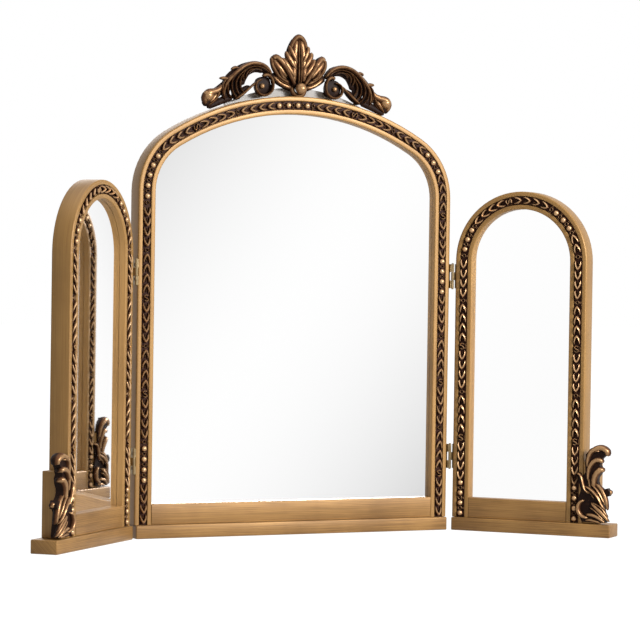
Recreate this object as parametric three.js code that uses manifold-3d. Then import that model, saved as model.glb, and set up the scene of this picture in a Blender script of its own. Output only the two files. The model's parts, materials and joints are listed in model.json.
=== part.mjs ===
// Table-top dressing mirror: one arched centre panel and two narrower arched wings on butt hinges.
// Millimetres. X to the right, Y away from the viewer, Z up. The origin is the middle of the
// underside of the centre plinth. Each wing is built in its own upright frame and turned on its pin.
import * as THREE from "three";
import { mergeVertices } from "three/addons/utils/BufferGeometryUtils.js";
import Module from "manifold-3d";

const wasm = await Module();
wasm.setup();

// ---------- driving dimensions ----------
const CLEAR = 0.3; // gap between fitted pieces
const PANEL_T = 30.6; // thickness of every frame
const PLINTH_H = 20.2; // height of the plinth bars
const PLINTH_LIP = 5.5; // how far a plinth stands out in front and behind
const PLINTH_R = 3.5; // rounding of the plinth's upright corners

const CENTRE_W = 528; // centre frame, outer width
const CENTRE_SPRING = 518.3; // height where its arch starts
const CENTRE_SHOULDER_R = 107.1; // outer radius of the arch's shoulders
const CENTRE_CROWN_R = 413.2; // outer radius of the arch's crown

const WING_W = 216.2; // wing frame, outer width
const WING_SPRING = 422.7; // height where its half-round head starts
const WING_PLINTH_REACH = 45.3; // how far the wing plinth runs past the outer stile
const LEFT_FOLD = 43.5; // degrees the left wing is folded forward
const RIGHT_FOLD = 50.3; // degrees the right wing is folded forward

const OUTER_FLAT = 7.2; // flat outside the moulding
const GROOVE_W = 13.3; // channel that holds the moulding
const INNER_FLAT = 6.9; // flat inside the moulding
const GROOVE_DEPTH = 3.5; // channel depth
const MOULDING_RISE = 3.5; // how far the moulding stands proud of the flats
const RAIL_H = 31.3; // bottom rail, height of its front face

const GLASS_RECESS = 10; // front of the frame to the step that the glass rests on
const GLASS_T = 3; // mirror glass
const GLASS_LAP = 7; // how far the glass runs behind the frame
const BOARD_T = 15; // backing board behind the glass

const CREST_RISE = 94; // top of the crest above the top of the arch
const CREST_DEPTH = 14; // thickness of the crest casting
const CREST_FRONT = 5; // crest front, behind the front of the frame
const CREST_BOARD_T = 4; // thin board behind the crest
const CREST_BOARD_RISE = 13; // its height above the top of the arch
const CREST_BOARD_HALF = 118; // half its length
const BOSS_R = 8.4; // ball in the middle of the crest
const BOSS_PROUD = 6.6; // its centre in front of the crest's face
const BOSS_UP = 11.7; // its centre above the top of the arch
const EYE_OUT = 76; // the crest's two openings, out from its middle
const EYE_UP = 22.8; // and above the top of the arch
const EYE_W = 22;
const EYE_H = 14;

const BLOCK_W = 21.3; // corner block beside the outer stile
const BLOCK_H = 95; // its height above the plinth
const ORNAMENT_T = 10; // thickness of the corner casting in front of the block
const ORNAMENT_WRAP = 8; // how far it reaches back beside the block

const PIN_SIDE = 3.6; // pin axis beyond the edge of the frame
const PIN_FRONT = 3; // pin axis in front of the face of the frame
const PIN_R = 1.1;
const PIN_FIT = 0.07; // radial clearance of the pin in the knuckles
const HINGE_L = 38; // length of the leaves
const HINGE_HEIGHTS = [115.6, 397.7]; // middles of the lower and upper hinges
const LEAF_T = 1.2;
const LEAF_REACH = 20; // how far a leaf runs back along the edge of the frame
const SCREW_PITCH = 22; // between the two screws of a leaf
const SCREW_R = 1.2;
const SCREW_L = 9;
const SCREW_HEAD_R = 2.4;
const SCREW_HEAD_T = 0.8;

// ---------- derived dimensions ----------
const FRONT = -PANEL_T / 2;
const BACK = PANEL_T / 2;
const FRAME_W = OUTER_FLAT + GROOVE_W + INNER_FLAT;
const FRAME_FOOT = PLINTH_H + CLEAR;
const SIGHT_Z = PLINTH_H + RAIL_H;
const STEP_Y = FRONT + GLASS_RECESS;
const PIN_Y = FRONT - PIN_FRONT;
const KNUCKLE_L = HINGE_L / 3;
const KNUCKLE_R = PIN_SIDE - CLEAR - LEAF_T + 0.2; // meets the leaf, which lies flat on the frame's edge
const SCREW_Y = FRONT + LEAF_REACH * 0.55;

const CENTRE_ARCH = {
  half: CENTRE_W / 2,
  spring: CENTRE_SPRING,
  shoulder: CENTRE_SHOULDER_R,
  crown: CENTRE_CROWN_R,
};
const WING_ARCH = {
  half: WING_W / 2,
  spring: WING_SPRING,
  shoulder: WING_W / 2,
  crown: WING_W / 2,
};

// ---------- materials ----------
const material = (color, roughness, metalness) =>
  new THREE.MeshStandardMaterial({ color, roughness, metalness });
const GILT = material(0xa9834f, 0.5, 0.35);
const GILT_DARK = material(0x8a6238, 0.4, 0.5);
const GLASS = material(0xe8ebee, 0.03, 1);
const BOARD = material(0x3d3028, 0.85, 0);
const GREY_BOARD = material(0x8d8a86, 0.8, 0);
const HINGE = material(0x8c7a55, 0.4, 0.9);

// ---------- solids ----------
const part = new THREE.Group();

function solid(geometry) {
  const bare = geometry.clone();
  bare.deleteAttribute("normal");
  bare.deleteAttribute("uv");
  const merged = mergeVertices(bare, 1e-4);
  return new wasm.Manifold(
    new wasm.Mesh({
      numProp: 3,
      vertProperties: new Float32Array(merged.attributes.position.array),
      triVerts: new Uint32Array(merged.index.array),
    }),
  );
}

function addNode(group, name, body, finish) {
  const mesh = body.getMesh();
  const geometry = new THREE.BufferGeometry();
  geometry.setAttribute("position", new THREE.BufferAttribute(mesh.vertProperties, 3));
  geometry.setIndex(new THREE.BufferAttribute(mesh.triVerts, 1));
  const flat = geometry.toNonIndexed();
  flat.computeVertexNormals();
  const node = new THREE.Mesh(flat, finish);
  node.name = name;
  group.add(node);
}

// A box between two opposite corners.
function box(x0, x1, y0, y1, z0, z1) {
  const geometry = new THREE.BoxGeometry(Math.abs(x1 - x0), y1 - y0, z1 - z0);
  geometry.translate((x0 + x1) / 2, (y0 + y1) / 2, (z0 + z1) / 2);
  return solid(geometry);
}

// An outline drawn in X and Z, given thickness from y0 to y1.
function slab(shape, y0, y1) {
  const geometry = new THREE.ExtrudeGeometry(shape, {
    depth: y1 - y0,
    bevelEnabled: false,
    curveSegments: 10,
  });
  geometry.rotateX(Math.PI / 2);
  geometry.translate(0, y1, 0);
  return solid(geometry);
}

// An upright cylinder.
function post(radius, x, y, z0, z1, sides = 16) {
  const geometry = new THREE.CylinderGeometry(radius, radius, z1 - z0, sides);
  geometry.rotateX(Math.PI / 2);
  geometry.translate(x, y, (z0 + z1) / 2);
  return solid(geometry);
}

// A cylinder along X.
function peg(radius, x0, x1, y, z, sides = 8) {
  const geometry = new THREE.CylinderGeometry(radius, radius, Math.abs(x1 - x0), sides);
  geometry.rotateZ(Math.PI / 2);
  geometry.translate((x0 + x1) / 2, y, z);
  return solid(geometry);
}

// ---------- arches ----------
// Centre of the crown's arc, and the angle where the shoulder's arc hands over to it.
function crownOf(arch) {
  const side = arch.half - arch.shoulder;
  const drop = Math.sqrt((arch.crown - arch.shoulder) ** 2 - side ** 2);
  return { side, centre: arch.spring - drop, split: Math.atan2(drop, side) };
}

const topOf = (arch) => crownOf(arch).centre + arch.crown;

// The head of the arch, inset from the outer line, from the right springing to the left.
function archHead(arch, inset) {
  const { side, centre, split } = crownOf(arch);
  const points = [];
  const arc = (cx, cz, radius, from, to, steps) => {
    for (let i = 0; i <= steps; i++) {
      const a = from + ((to - from) * i) / steps;
      points.push(new THREE.Vector2(cx + radius * Math.cos(a), cz + radius * Math.sin(a)));
    }
  };
  if (side > 0) arc(side, arch.spring, arch.shoulder - inset, 0, split, 7);
  arc(0, centre, arch.crown - inset, split, Math.PI - split, side > 0 ? 16 : 24);
  if (side > 0) arc(-side, arch.spring, arch.shoulder - inset, Math.PI - split, Math.PI, 7);
  return points.filter((p, i) => i === 0 || p.distanceTo(points[i - 1]) > 1e-3);
}

// An arched plate with a straight foot.
function archPlate(arch, inset, foot) {
  const edge = arch.half - inset;
  const points = [new THREE.Vector2(edge, foot), ...archHead(arch, inset)];
  return new THREE.Shape([...points, new THREE.Vector2(-edge, foot)]);
}

// An upside-down U: the band between two insets of the same arch, open at the foot.
function archBand(arch, outer, inner, foot) {
  const points = [new THREE.Vector2(arch.half - outer, foot), ...archHead(arch, outer)];
  points.push(new THREE.Vector2(outer - arch.half, foot));
  points.push(new THREE.Vector2(inner - arch.half, foot));
  points.push(...archHead(arch, inner).reverse());
  points.push(new THREE.Vector2(arch.half - inner, foot));
  return new THREE.Shape(points);
}

// ---------- pieces that every panel has ----------
// Stiles and arched head in one, with the moulding's channel in front and the glass rebate behind.
function frameBody(arch) {
  const channel = archBand(arch, OUTER_FLAT, OUTER_FLAT + GROOVE_W, PLINTH_H);
  const rebate = archPlate(arch, FRAME_W - GLASS_LAP, SIGHT_Z - GLASS_LAP);
  return slab(archBand(arch, 0, FRAME_W, FRAME_FOOT), FRONT, BACK)
    .subtract(slab(channel, FRONT - 1, FRONT + GROOVE_DEPTH))
    .subtract(slab(rebate, STEP_Y, BACK + 1));
}

// Bottom rail, fitted between the stiles, with its own rebate along the top of the back.
function railBody(arch) {
  const half = arch.half - FRAME_W - CLEAR;
  return box(-half, half, FRONT, BACK, FRAME_FOOT, SIGHT_Z).subtract(
    box(-half - 1, half + 1, STEP_Y, BACK + 1, SIGHT_Z - GLASS_LAP, SIGHT_Z + 1),
  );
}

// Anything that lies in the glass rebate, from y0 to y1.
function rebatePlate(arch, y0, y1) {
  const plate = archPlate(arch, FRAME_W - GLASS_LAP + CLEAR, SIGHT_Z - GLASS_LAP + CLEAR);
  return slab(plate, y0, y1);
}

// The moulding strip: a foot that fits the channel and a narrower back that stands proud.
function mouldingBody(arch) {
  const outer = OUTER_FLAT + CLEAR;
  const inner = OUTER_FLAT + GROOVE_W - CLEAR;
  const floor = FRONT + GROOVE_DEPTH - CLEAR;
  const crest = FRONT - MOULDING_RISE;
  const foot = slab(archBand(arch, outer, inner, FRAME_FOOT), FRONT - 1, floor);
  const ridge = slab(archBand(arch, outer + 3, inner - 3, FRAME_FOOT), crest, FRONT);
  return foot.add(ridge);
}

// A plinth bar with rounded upright corners.
function plinthBody(x0, x1) {
  const y0 = FRONT - PLINTH_LIP;
  const y1 = BACK + PLINTH_LIP;
  const shape = new THREE.Shape();
  shape.moveTo(x0 + PLINTH_R, y0);
  shape.lineTo(x1 - PLINTH_R, y0);
  shape.absarc(x1 - PLINTH_R, y0 + PLINTH_R, PLINTH_R, -Math.PI / 2, 0);
  shape.absarc(x1 - PLINTH_R, y1 - PLINTH_R, PLINTH_R, 0, Math.PI / 2);
  shape.absarc(x0 + PLINTH_R, y1 - PLINTH_R, PLINTH_R, Math.PI / 2, Math.PI);
  shape.absarc(x0 + PLINTH_R, y0 + PLINTH_R, PLINTH_R, Math.PI, Math.PI * 1.5);
  return solid(
    new THREE.ExtrudeGeometry(shape, { depth: PLINTH_H, bevelEnabled: false, curveSegments: 4 }),
  );
}

// Pilot holes for the leaf screws in one edge of a frame. side is 1 for the right-hand edge.
function pilotHoles(body, arch, side) {
  for (const z of HINGE_HEIGHTS) {
    for (const dz of [-SCREW_PITCH / 2, SCREW_PITCH / 2]) {
      const depth = side * (arch.half - SCREW_L - 1);
      body = body.subtract(peg(SCREW_R + CLEAR, depth, side * (arch.half + 1), SCREW_Y, z + dz));
    }
  }
  return body;
}

function addPanel(group, name, arch, hingeSides) {
  let frame = frameBody(arch);
  for (const side of hingeSides) frame = pilotHoles(frame, arch, side);
  const glassY = STEP_Y + CLEAR;
  const boardY = glassY + GLASS_T + CLEAR;
  addNode(group, name + "_frame", frame, GILT);
  addNode(group, name + "_bottom_rail", railBody(arch), GILT);
  addNode(group, name + "_moulding", mouldingBody(arch), GILT_DARK);
  addNode(group, name + "_mirror", rebatePlate(arch, glassY, glassY + GLASS_T), GLASS);
  addNode(group, name + "_back_board", rebatePlate(arch, boardY, boardY + BOARD_T), BOARD);
}

// ---------- crest ----------
// Right half of the crest's upper outline: distance from the middle, and height as a share of the
// rise of the crest above the arch's top.
const CREST_EDGE = [
  [5, 0.971],
  [10, 0.891],
  [17, 0.79],
  [21.5, 0.7],
  [24.5, 0.61],
  [33, 0.668],
  [41, 0.679],
  [46, 0.636],
  [47.3, 0.546],
  [46.5, 0.45],
  [54, 0.477],
  [61, 0.514],
  [75.5, 0.546],
  [86, 0.524],
  [95, 0.477],
  [102, 0.429],
  [107, 0.429],
  [112, 0.4],
  [113, 0.354],
  [121, 0.259],
  [129, 0.255],
  [131.3, 0.227],
  [129.5, 0.179],
  [131, 0.115],
  [135, 0.072],
  [145, 0.07],
  [154.3, 0.053],
  [159.2, 0.011],
  [161, -0.039],
  [158.8, -0.111],
  [154, -0.181],
  [149.5, -0.241],
];

// The crest's foot follows the arch from one end curl to the other.
function crestBody() {
  const top = topOf(CENTRE_ARCH);
  const { centre } = crownOf(CENTRE_ARCH);
  const upper = CREST_EDGE.map(([x, share]) => new THREE.Vector2(x, top + share * CREST_RISE));
  const lower = [];
  for (let x = 147; x > 0; x -= 12.25) {
    const z = centre + Math.sqrt((CENTRE_CROWN_R + CLEAR) ** 2 - x ** 2);
    lower.push(new THREE.Vector2(x, z + 0.3));
  }
  const right = [...upper, ...lower];
  const left = right.map((p) => new THREE.Vector2(-p.x, p.y)).reverse();
  const peak = new THREE.Vector2(0, top + CREST_RISE);
  const middle = new THREE.Vector2(0, top + CLEAR + 0.3);
  const shape = new THREE.Shape([peak, ...right, middle, ...left]);
  for (const side of [-1, 1]) {
    const eye = new THREE.Path();
    eye.absellipse(side * EYE_OUT, top + EYE_UP, EYE_W / 2, EYE_H / 2, 0, Math.PI * 2, false);
    shape.holes.push(eye);
  }
  const front = FRONT + CREST_FRONT;
  const boss = new THREE.SphereGeometry(BOSS_R, 12, 8);
  boss.translate(0, front - BOSS_PROUD, top + BOSS_UP);
  return slab(shape, front, front + CREST_DEPTH).add(solid(boss));
}

// A low board behind the crest, cut to a flatter curve along the top.
function crestBoardBody() {
  const top = topOf(CENTRE_ARCH);
  const { centre } = crownOf(CENTRE_ARCH);
  const foot = (x) => centre + Math.sqrt((CENTRE_CROWN_R + 2 * CLEAR) ** 2 - x ** 2);
  const points = [];
  for (let i = -8; i <= 8; i++) {
    const x = (CREST_BOARD_HALF * i) / 8;
    points.push(new THREE.Vector2(x, foot(x)));
  }
  for (let i = 8; i >= -8; i--) {
    const x = (CREST_BOARD_HALF * i) / 8;
    const swell = 1 - (i / 8) ** 2;
    points.push(new THREE.Vector2(x, foot(x) + 2 + (CREST_BOARD_RISE - 2) * swell));
  }
  const y0 = FRONT + CREST_FRONT + CREST_DEPTH + CLEAR;
  return slab(new THREE.Shape(points), y0, y0 + CREST_BOARD_T);
}

// ---------- corner block and its casting ----------
// Outline of the casting: out from the stile's outer edge, and up from the plinth. It stops short
// of the moulding, lies flat on the stile and the block, and wraps round the block's outer edge.
const ORNAMENT_EDGE = [
  [38, 3],
  [37.5, 10],
  [34.5, 25],
  [33, 38],
  [36, 43],
  [43, 44],
  [44.5, 50],
  [40, 56],
  [33, 54],
  [26, 60],
  [24, 66],
  [24.5, 72],
  [29, 78],
  [31, 86],
  [27, 91],
  [30, 96],
  [30.5, 101],
  [36, 106],
  [36, 114],
  [30, 120],
  [22, 121],
  [12, 116],
  [5, 107],
  [4, 92],
  [5, 80],
  [0, 72],
  [-3, 78],
  [-6.8, 79],
  [-6.8, 66],
  [-2, 52],
  [-6.8, 38],
  [-6.8, 18],
  [0, 3],
];

function ornamentBody(side) {
  const edge = ORNAMENT_EDGE.map(
    ([out, up]) => new THREE.Vector2(side * (WING_W / 2 + out), PLINTH_H + up),
  );
  const behind = side * (WING_W / 2 + BLOCK_W + 2 * CLEAR);
  const top = PLINTH_H + 2 * BLOCK_H;
  const seat = box(...(side < 0 ? [behind, 0] : [0, behind]), FRONT - CLEAR, BACK, 0, top);
  return slab(new THREE.Shape(edge), FRONT - CLEAR - ORNAMENT_T, FRONT + ORNAMENT_WRAP).subtract(seat);
}

function blockBody(side) {
  const inner = side * (WING_W / 2 + CLEAR);
  return box(inner, inner + side * BLOCK_W, FRONT, BACK, FRAME_FOOT, FRAME_FOOT + BLOCK_H);
}

// ---------- hinges ----------
// A leaf lies on the edge of a frame and carries its own knuckles. edge is the x of that edge, out
// points away from the frame, and turns lists which thirds of the length hold its knuckles.
function leafBody(edge, out, middle, turns) {
  const x0 = edge + out * CLEAR;
  const x1 = x0 + out * LEAF_T;
  const axis = edge + out * PIN_SIDE;
  const foot = middle - HINGE_L / 2;
  let leaf = box(x0, x1, FRONT + 1.5, FRONT + LEAF_REACH, foot, foot + HINGE_L);
  for (const turn of turns) {
    const z0 = foot + turn * KNUCKLE_L + 0.15;
    const z1 = foot + (turn + 1) * KNUCKLE_L - 0.15;
    leaf = leaf.add(box(x0, x1, PIN_Y, FRONT + 2, z0, z1));
    leaf = leaf.add(post(KNUCKLE_R, axis, PIN_Y, z0, z1));
  }
  for (const dz of [-SCREW_PITCH / 2, SCREW_PITCH / 2]) {
    const hole = peg(SCREW_R + CLEAR, x0 - out, x1 + out, SCREW_Y, middle + dz);
    leaf = leaf.subtract(hole);
  }
  return leaf.subtract(post(PIN_R + PIN_FIT, axis, PIN_Y, foot - 1, foot + HINGE_L + 1));
}

// Pin with a low domed head at each end.
function pinBody(axis, middle) {
  const half = HINGE_L / 2 + 0.2;
  const profile = [
    new THREE.Vector2(0, -half - 1.4),
    new THREE.Vector2(1.4, -half - 1),
    new THREE.Vector2(2, -half - 0.3),
    new THREE.Vector2(2, -half),
    new THREE.Vector2(PIN_R, -half),
    new THREE.Vector2(PIN_R, half),
    new THREE.Vector2(2, half),
    new THREE.Vector2(2, half + 0.3),
    new THREE.Vector2(1.4, half + 1),
    new THREE.Vector2(0, half + 1.4),
  ];
  const geometry = new THREE.LatheGeometry(profile, 12);
  geometry.rotateX(Math.PI / 2);
  geometry.translate(axis, PIN_Y, middle);
  return solid(geometry);
}

// Round-headed screw through a leaf into the edge of the frame.
function screwBody(edge, out, z) {
  const seat = edge + out * (2 * CLEAR + LEAF_T);
  const shank = peg(SCREW_R, seat - out * SCREW_L, seat + out * 0.2, SCREW_Y, z);
  return shank.add(peg(SCREW_HEAD_R, seat, seat + out * SCREW_HEAD_T, SCREW_Y, z));
}

function addLeaf(group, name, edge, out, turns) {
  HINGE_HEIGHTS.forEach((middle, i) => {
    const level = i === 0 ? "lower" : "upper";
    const label = name + "_" + level;
    addNode(group, label + "_leaf", leafBody(edge, out, middle, turns), HINGE);
    addNode(group, label + "_screw_a", screwBody(edge, out, middle - SCREW_PITCH / 2), HINGE);
    addNode(group, label + "_screw_b", screwBody(edge, out, middle + SCREW_PITCH / 2), HINGE);
  });
}

// ---------- centre panel ----------
const centre = new THREE.Group();
addPanel(centre, "centre", CENTRE_ARCH, [-1, 1]);
addNode(centre, "centre_plinth", plinthBody(1 - CENTRE_W / 2, CENTRE_W / 2 - 1), GILT);
addNode(centre, "crest", crestBody(), GILT_DARK);
addNode(centre, "crest_board", crestBoardBody(), GREY_BOARD);
for (const side of [-1, 1]) {
  const name = side < 0 ? "left_hinge_centre" : "right_hinge_centre";
  const edge = (side * CENTRE_W) / 2;
  addLeaf(centre, name, edge, side, [0, 2]);
  HINGE_HEIGHTS.forEach((middle, i) => {
    const pin = (side < 0 ? "left" : "right") + (i === 0 ? "_lower_pin" : "_upper_pin");
    addNode(centre, pin, pinBody(edge + side * PIN_SIDE, middle), HINGE);
  });
}
part.add(centre);

// ---------- wings ----------
// side is -1 for the left wing and 1 for the right one; its outer edge lies on that side.
function addWing(name, side, fold) {
  const wing = new THREE.Group();
  addPanel(wing, name, WING_ARCH, [-side]);
  const hingeEnd = side * (1 - WING_W / 2);
  const outerEnd = side * (WING_W / 2 + WING_PLINTH_REACH);
  const ends = [Math.min(hingeEnd, outerEnd), Math.max(hingeEnd, outerEnd)];
  addNode(wing, name + "_plinth", plinthBody(...ends), GILT);
  addNode(wing, name + "_corner_block", blockBody(side), GILT);
  addNode(wing, name + "_corner_ornament", ornamentBody(side), GILT_DARK);
  const hinge = (side < 0 ? "left" : "right") + "_hinge_wing";
  addLeaf(wing, hinge, (-side * WING_W) / 2, -side, [1]);

  // Turn about the pin: the wing's pin line is brought onto the centre panel's pin line.
  const turn = -side * THREE.MathUtils.degToRad(fold);
  const pinInWing = new THREE.Vector3(-side * (WING_W / 2 + PIN_SIDE), PIN_Y, 0);
  const pinInPart = new THREE.Vector3(side * (CENTRE_W / 2 + PIN_SIDE), PIN_Y, 0);
  wing.rotation.z = turn;
  wing.position.copy(pinInPart).sub(pinInWing.applyAxisAngle(new THREE.Vector3(0, 0, 1), turn));
  part.add(wing);
}
addWing("left_wing", -1, LEFT_FOLD);
addWing("right_wing", 1, RIGHT_FOLD);

export default part;
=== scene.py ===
import bpy, bmesh, json
from math import atan2, cos, hypot, pi, radians, sin, sqrt
from mathutils import Matrix, Vector


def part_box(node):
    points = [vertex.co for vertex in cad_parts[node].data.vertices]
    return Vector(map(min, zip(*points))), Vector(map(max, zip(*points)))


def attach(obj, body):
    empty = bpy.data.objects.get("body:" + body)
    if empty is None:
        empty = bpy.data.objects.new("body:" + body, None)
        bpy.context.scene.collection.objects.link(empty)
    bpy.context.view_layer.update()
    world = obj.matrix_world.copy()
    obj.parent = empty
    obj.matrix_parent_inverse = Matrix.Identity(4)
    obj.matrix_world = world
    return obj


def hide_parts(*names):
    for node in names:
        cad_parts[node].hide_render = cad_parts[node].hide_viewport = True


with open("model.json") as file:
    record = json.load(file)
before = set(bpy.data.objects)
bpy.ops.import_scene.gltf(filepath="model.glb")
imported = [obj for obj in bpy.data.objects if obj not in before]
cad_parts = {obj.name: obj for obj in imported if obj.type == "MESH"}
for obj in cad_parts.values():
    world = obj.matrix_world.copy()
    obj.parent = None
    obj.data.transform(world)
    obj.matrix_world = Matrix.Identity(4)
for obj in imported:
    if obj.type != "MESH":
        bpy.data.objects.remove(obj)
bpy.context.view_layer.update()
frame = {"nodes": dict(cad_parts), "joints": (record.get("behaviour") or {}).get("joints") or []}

# ---------------------------------------------------------------- viewpoint, floor and light
# A tall white sweep: pale floor, white surroundings, one broad soft lamp to the right of the
# front and weaker ones before and behind, so that the satin gold shows its form.
EYE_PLACE = (-1.8904, -3.9387, 0.4069)
EYE_TURN, EYE_TILT, EYE_LEAN = 26.182, 0.937, 0.85  # degrees: to the right, downwards, sideways
FLOOR_HALF = 14
FLOOR_DROP = 0.0004

scene = bpy.context.scene
eye = bpy.data.objects.new("viewpoint", bpy.data.cameras.new("viewpoint"))
scene.collection.objects.link(eye)
eye.matrix_world = (
    Matrix.Translation(EYE_PLACE)
    @ Matrix.Rotation(radians(-EYE_TURN), 4, "Z")
    @ Matrix.Rotation(radians(90 - EYE_TILT), 4, "X")
    @ Matrix.Rotation(radians(EYE_LEAN), 4, "Z")
)
eye.data.sensor_width = 36
eye.data.lens = 160.4
scene.camera = eye
scene.view_settings.view_transform = "Standard"


def wire(tree, node, inputs):
    """Gives a shader node's inputs their plain values or another node's outputs."""
    for socket, value in inputs.items():
        if isinstance(value, bpy.types.NodeSocket):
            tree.links.new(value, node.inputs[socket])
        else:
            node.inputs[socket].default_value = value
    return node


def add_node(tree, kind, inputs=None, **settings):
    node = tree.nodes.new("ShaderNode" + kind)
    for setting, value in settings.items():
        setattr(node, setting, value)
    return wire(tree, node, inputs or {})


def new_material(name):
    made = bpy.data.materials.new(name)
    made.use_nodes = True
    tree = made.node_tree
    return made, tree, tree.nodes["Principled BSDF"]


def seen_directly(tree):
    """1 for what the viewer sees straight, in a mirror or through glass, otherwise 0."""
    path = add_node(tree, "LightPath")
    seen = path.outputs["Is Camera Ray"]
    for also in ("Is Glossy Ray", "Is Transmission Ray"):
        seen = add_node(tree, "Math", {0: seen, 1: path.outputs[also]}, operation="MAXIMUM").outputs[0]
    return seen


surroundings = bpy.data.worlds.new("white surroundings")
scene.world = surroundings
surroundings.use_nodes = True
tree = surroundings.node_tree
level = add_node(tree, "MapRange", {"Value": seen_directly(tree), "To Min": 0.09, "To Max": 1.0})
wire(tree, tree.nodes["Background"], {"Color": (1, 1, 1, 1), "Strength": level.outputs["Result"]})

# seen straight the floor is bright and keeps part of its shadow; in a mirror it is plain white
floor_paint, tree, shader = new_material("white floor")
wire(tree, shader, {"Base Color": (0.35, 0.35, 0.35, 1), "Roughness": 0.6, "Specular IOR Level": 0.2})
straight = add_node(tree, "LightPath").outputs["Is Camera Ray"]
strength, cover = (
    add_node(tree, "MapRange", {"Value": straight, "To Min": 1.0, "To Max": most}).outputs["Result"]
    for most in (1.5, 0.65)
)
glow = add_node(tree, "Emission", {"Strength": strength})
share = add_node(tree, "Math", {0: seen_directly(tree), 1: cover}, operation="MULTIPLY")
blend = add_node(tree, "MixShader", {"Fac": share.outputs[0], 1: shader.outputs[0], 2: glow.outputs[0]})
wire(tree, tree.nodes["Material Output"], {"Surface": blend.outputs[0]})

sheet = bmesh.new()
bmesh.ops.create_grid(sheet, x_segments=1, y_segments=1, size=FLOOR_HALF)
bmesh.ops.translate(sheet, verts=sheet.verts, vec=(0, 0, -FLOOR_DROP))
floor = bpy.data.objects.new("floor", bpy.data.meshes.new("floor"))
sheet.to_mesh(floor.data)
sheet.free()
floor.data.materials.append(floor_paint)
scene.collection.objects.link(floor)


def soft_lamp(name, place, aim_z, size, watts):
    """A round lamp aimed at a height on the middle line."""
    lamp = bpy.data.objects.new(name, bpy.data.lights.new(name, "AREA"))
    lamp.data.shape = "DISK"
    lamp.data.size = size
    lamp.data.energy = watts
    aim = Vector((0, 0, aim_z)) - Vector(place)
    lamp.matrix_world = Matrix.Translation(place) @ aim.to_track_quat("-Z", "Y").to_matrix().to_4x4()
    scene.collection.objects.link(lamp)


overhead = bpy.data.objects.new("overhead", bpy.data.lights.new("overhead", "SUN"))
overhead.data.angle = radians(60)
overhead.data.energy = 1.0
scene.collection.objects.link(overhead)
soft_lamp("shine lamp", (1.5, -3.1, 1.5), 0.35, 1.2, 170)
soft_lamp("front lamp", (-0.35, -3.5, 1.5), 0.35, 1.0, 14)
soft_lamp("back lamp", (0.6, 2.8, 1.8), 0.3, 1.6, 10)

# ---------------------------------------------------------------- centre frame
# Stiles and arched head of moulded board, in satin antique gold brushed along each piece. A channel
# in the face takes the carved strip, and a rebate behind takes the glass.
HALF_THICK = 0.0153
CHANNEL = (0.0072, 0.0205)  # its two sides, in from the frame's outer line
CHANNEL_DEEP = 0.0035
SIGHT = 0.0274  # the inner edge, in from the outer line
REBATE = 0.0204
REBATE_Y = -0.0053
FOOT_Z = 0.0205
GRAIN_LINE = 0.014  # the line that the grain's length is measured on
SHOULDER_STEPS, CROWN_STEPS, ROUND_HEAD_STEPS = 10, 22, 36
CENTRE = {"half": 0.264, "spring": 0.5183, "shoulder": 0.1071, "crown": 0.4132}


def arcs(panel):
    """Sideways centre of the shoulder's arc, height of the crown's centre, and the angle between."""
    side = panel["half"] - panel["shoulder"]
    drop = sqrt((panel["crown"] - panel["shoulder"]) ** 2 - side**2)
    split = atan2(drop, side) if side > 1e-6 else pi / 2
    return side, panel["spring"] - drop, split


def section(bm, corners, place):
    """A flat face through corners (a, b, rounding); place turns (a, b) into a point."""
    verts = [bm.verts.new(place(a, b)) for a, b, _ in corners]
    edges = []
    for pair in zip(verts, verts[1:] + verts[:1]):
        edges += bmesh.ops.contextual_create(bm, geom=list(pair))["edges"]
    bmesh.ops.edgeloop_fill(bm, edges=edges)
    for vert, (_, _, rounding) in zip(verts, corners):
        if rounding:
            bmesh.ops.bevel(
                bm, geom=[vert], offset=rounding, segments=3, profile=0.5, material=-1, affect="VERTICES"
            )
    return next(iter(bm.faces))


def pull(bm, face, way):
    """Extrudes a face along a vector and returns the new end face."""
    grown = bmesh.ops.extrude_face_region(bm, geom=[face])["geom"]
    bmesh.ops.translate(bm, verts=[g for g in grown if isinstance(g, bmesh.types.BMVert)], vec=way)
    return next(g for g in grown if isinstance(g, bmesh.types.BMFace))


def turn_over(bm, face, centre, angle, steps):
    """Spins a face about a point in the plane of the panel, from right to left."""
    geom = [face, *face.edges, *face.verts]
    last = bmesh.ops.spin(bm, geom=geom, cent=centre, axis=(0, -1, 0), angle=angle, steps=steps)
    return next(g for g in last["geom_last"] if isinstance(g, bmesh.types.BMFace))


def run_along(bm, panel, corners):
    """Takes a section up the right stile, over the head and down the left stile."""
    half, spring = panel["half"], panel["spring"]
    side, crown_z, split = arcs(panel)
    face = section(bm, corners, lambda inset, y: (half - inset, y, FOOT_Z))
    face = pull(bm, face, (0, 0, spring - FOOT_Z))
    if side > 1e-6:
        face = turn_over(bm, face, (side, 0, spring), split, SHOULDER_STEPS)
        face = turn_over(bm, face, (0, 0, crown_z), pi - 2 * split, CROWN_STEPS)
        face = turn_over(bm, face, (-side, 0, spring), split, SHOULDER_STEPS)
    else:
        face = turn_over(bm, face, (0, 0, spring), pi, ROUND_HEAD_STEPS)
    pull(bm, face, (0, 0, FOOT_Z - spring))
    walls = [f for f in bm.faces if all(len(e.link_faces) > 2 for e in f.edges)]
    bmesh.ops.delete(bm, geom=walls, context="FACES_ONLY")


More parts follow.
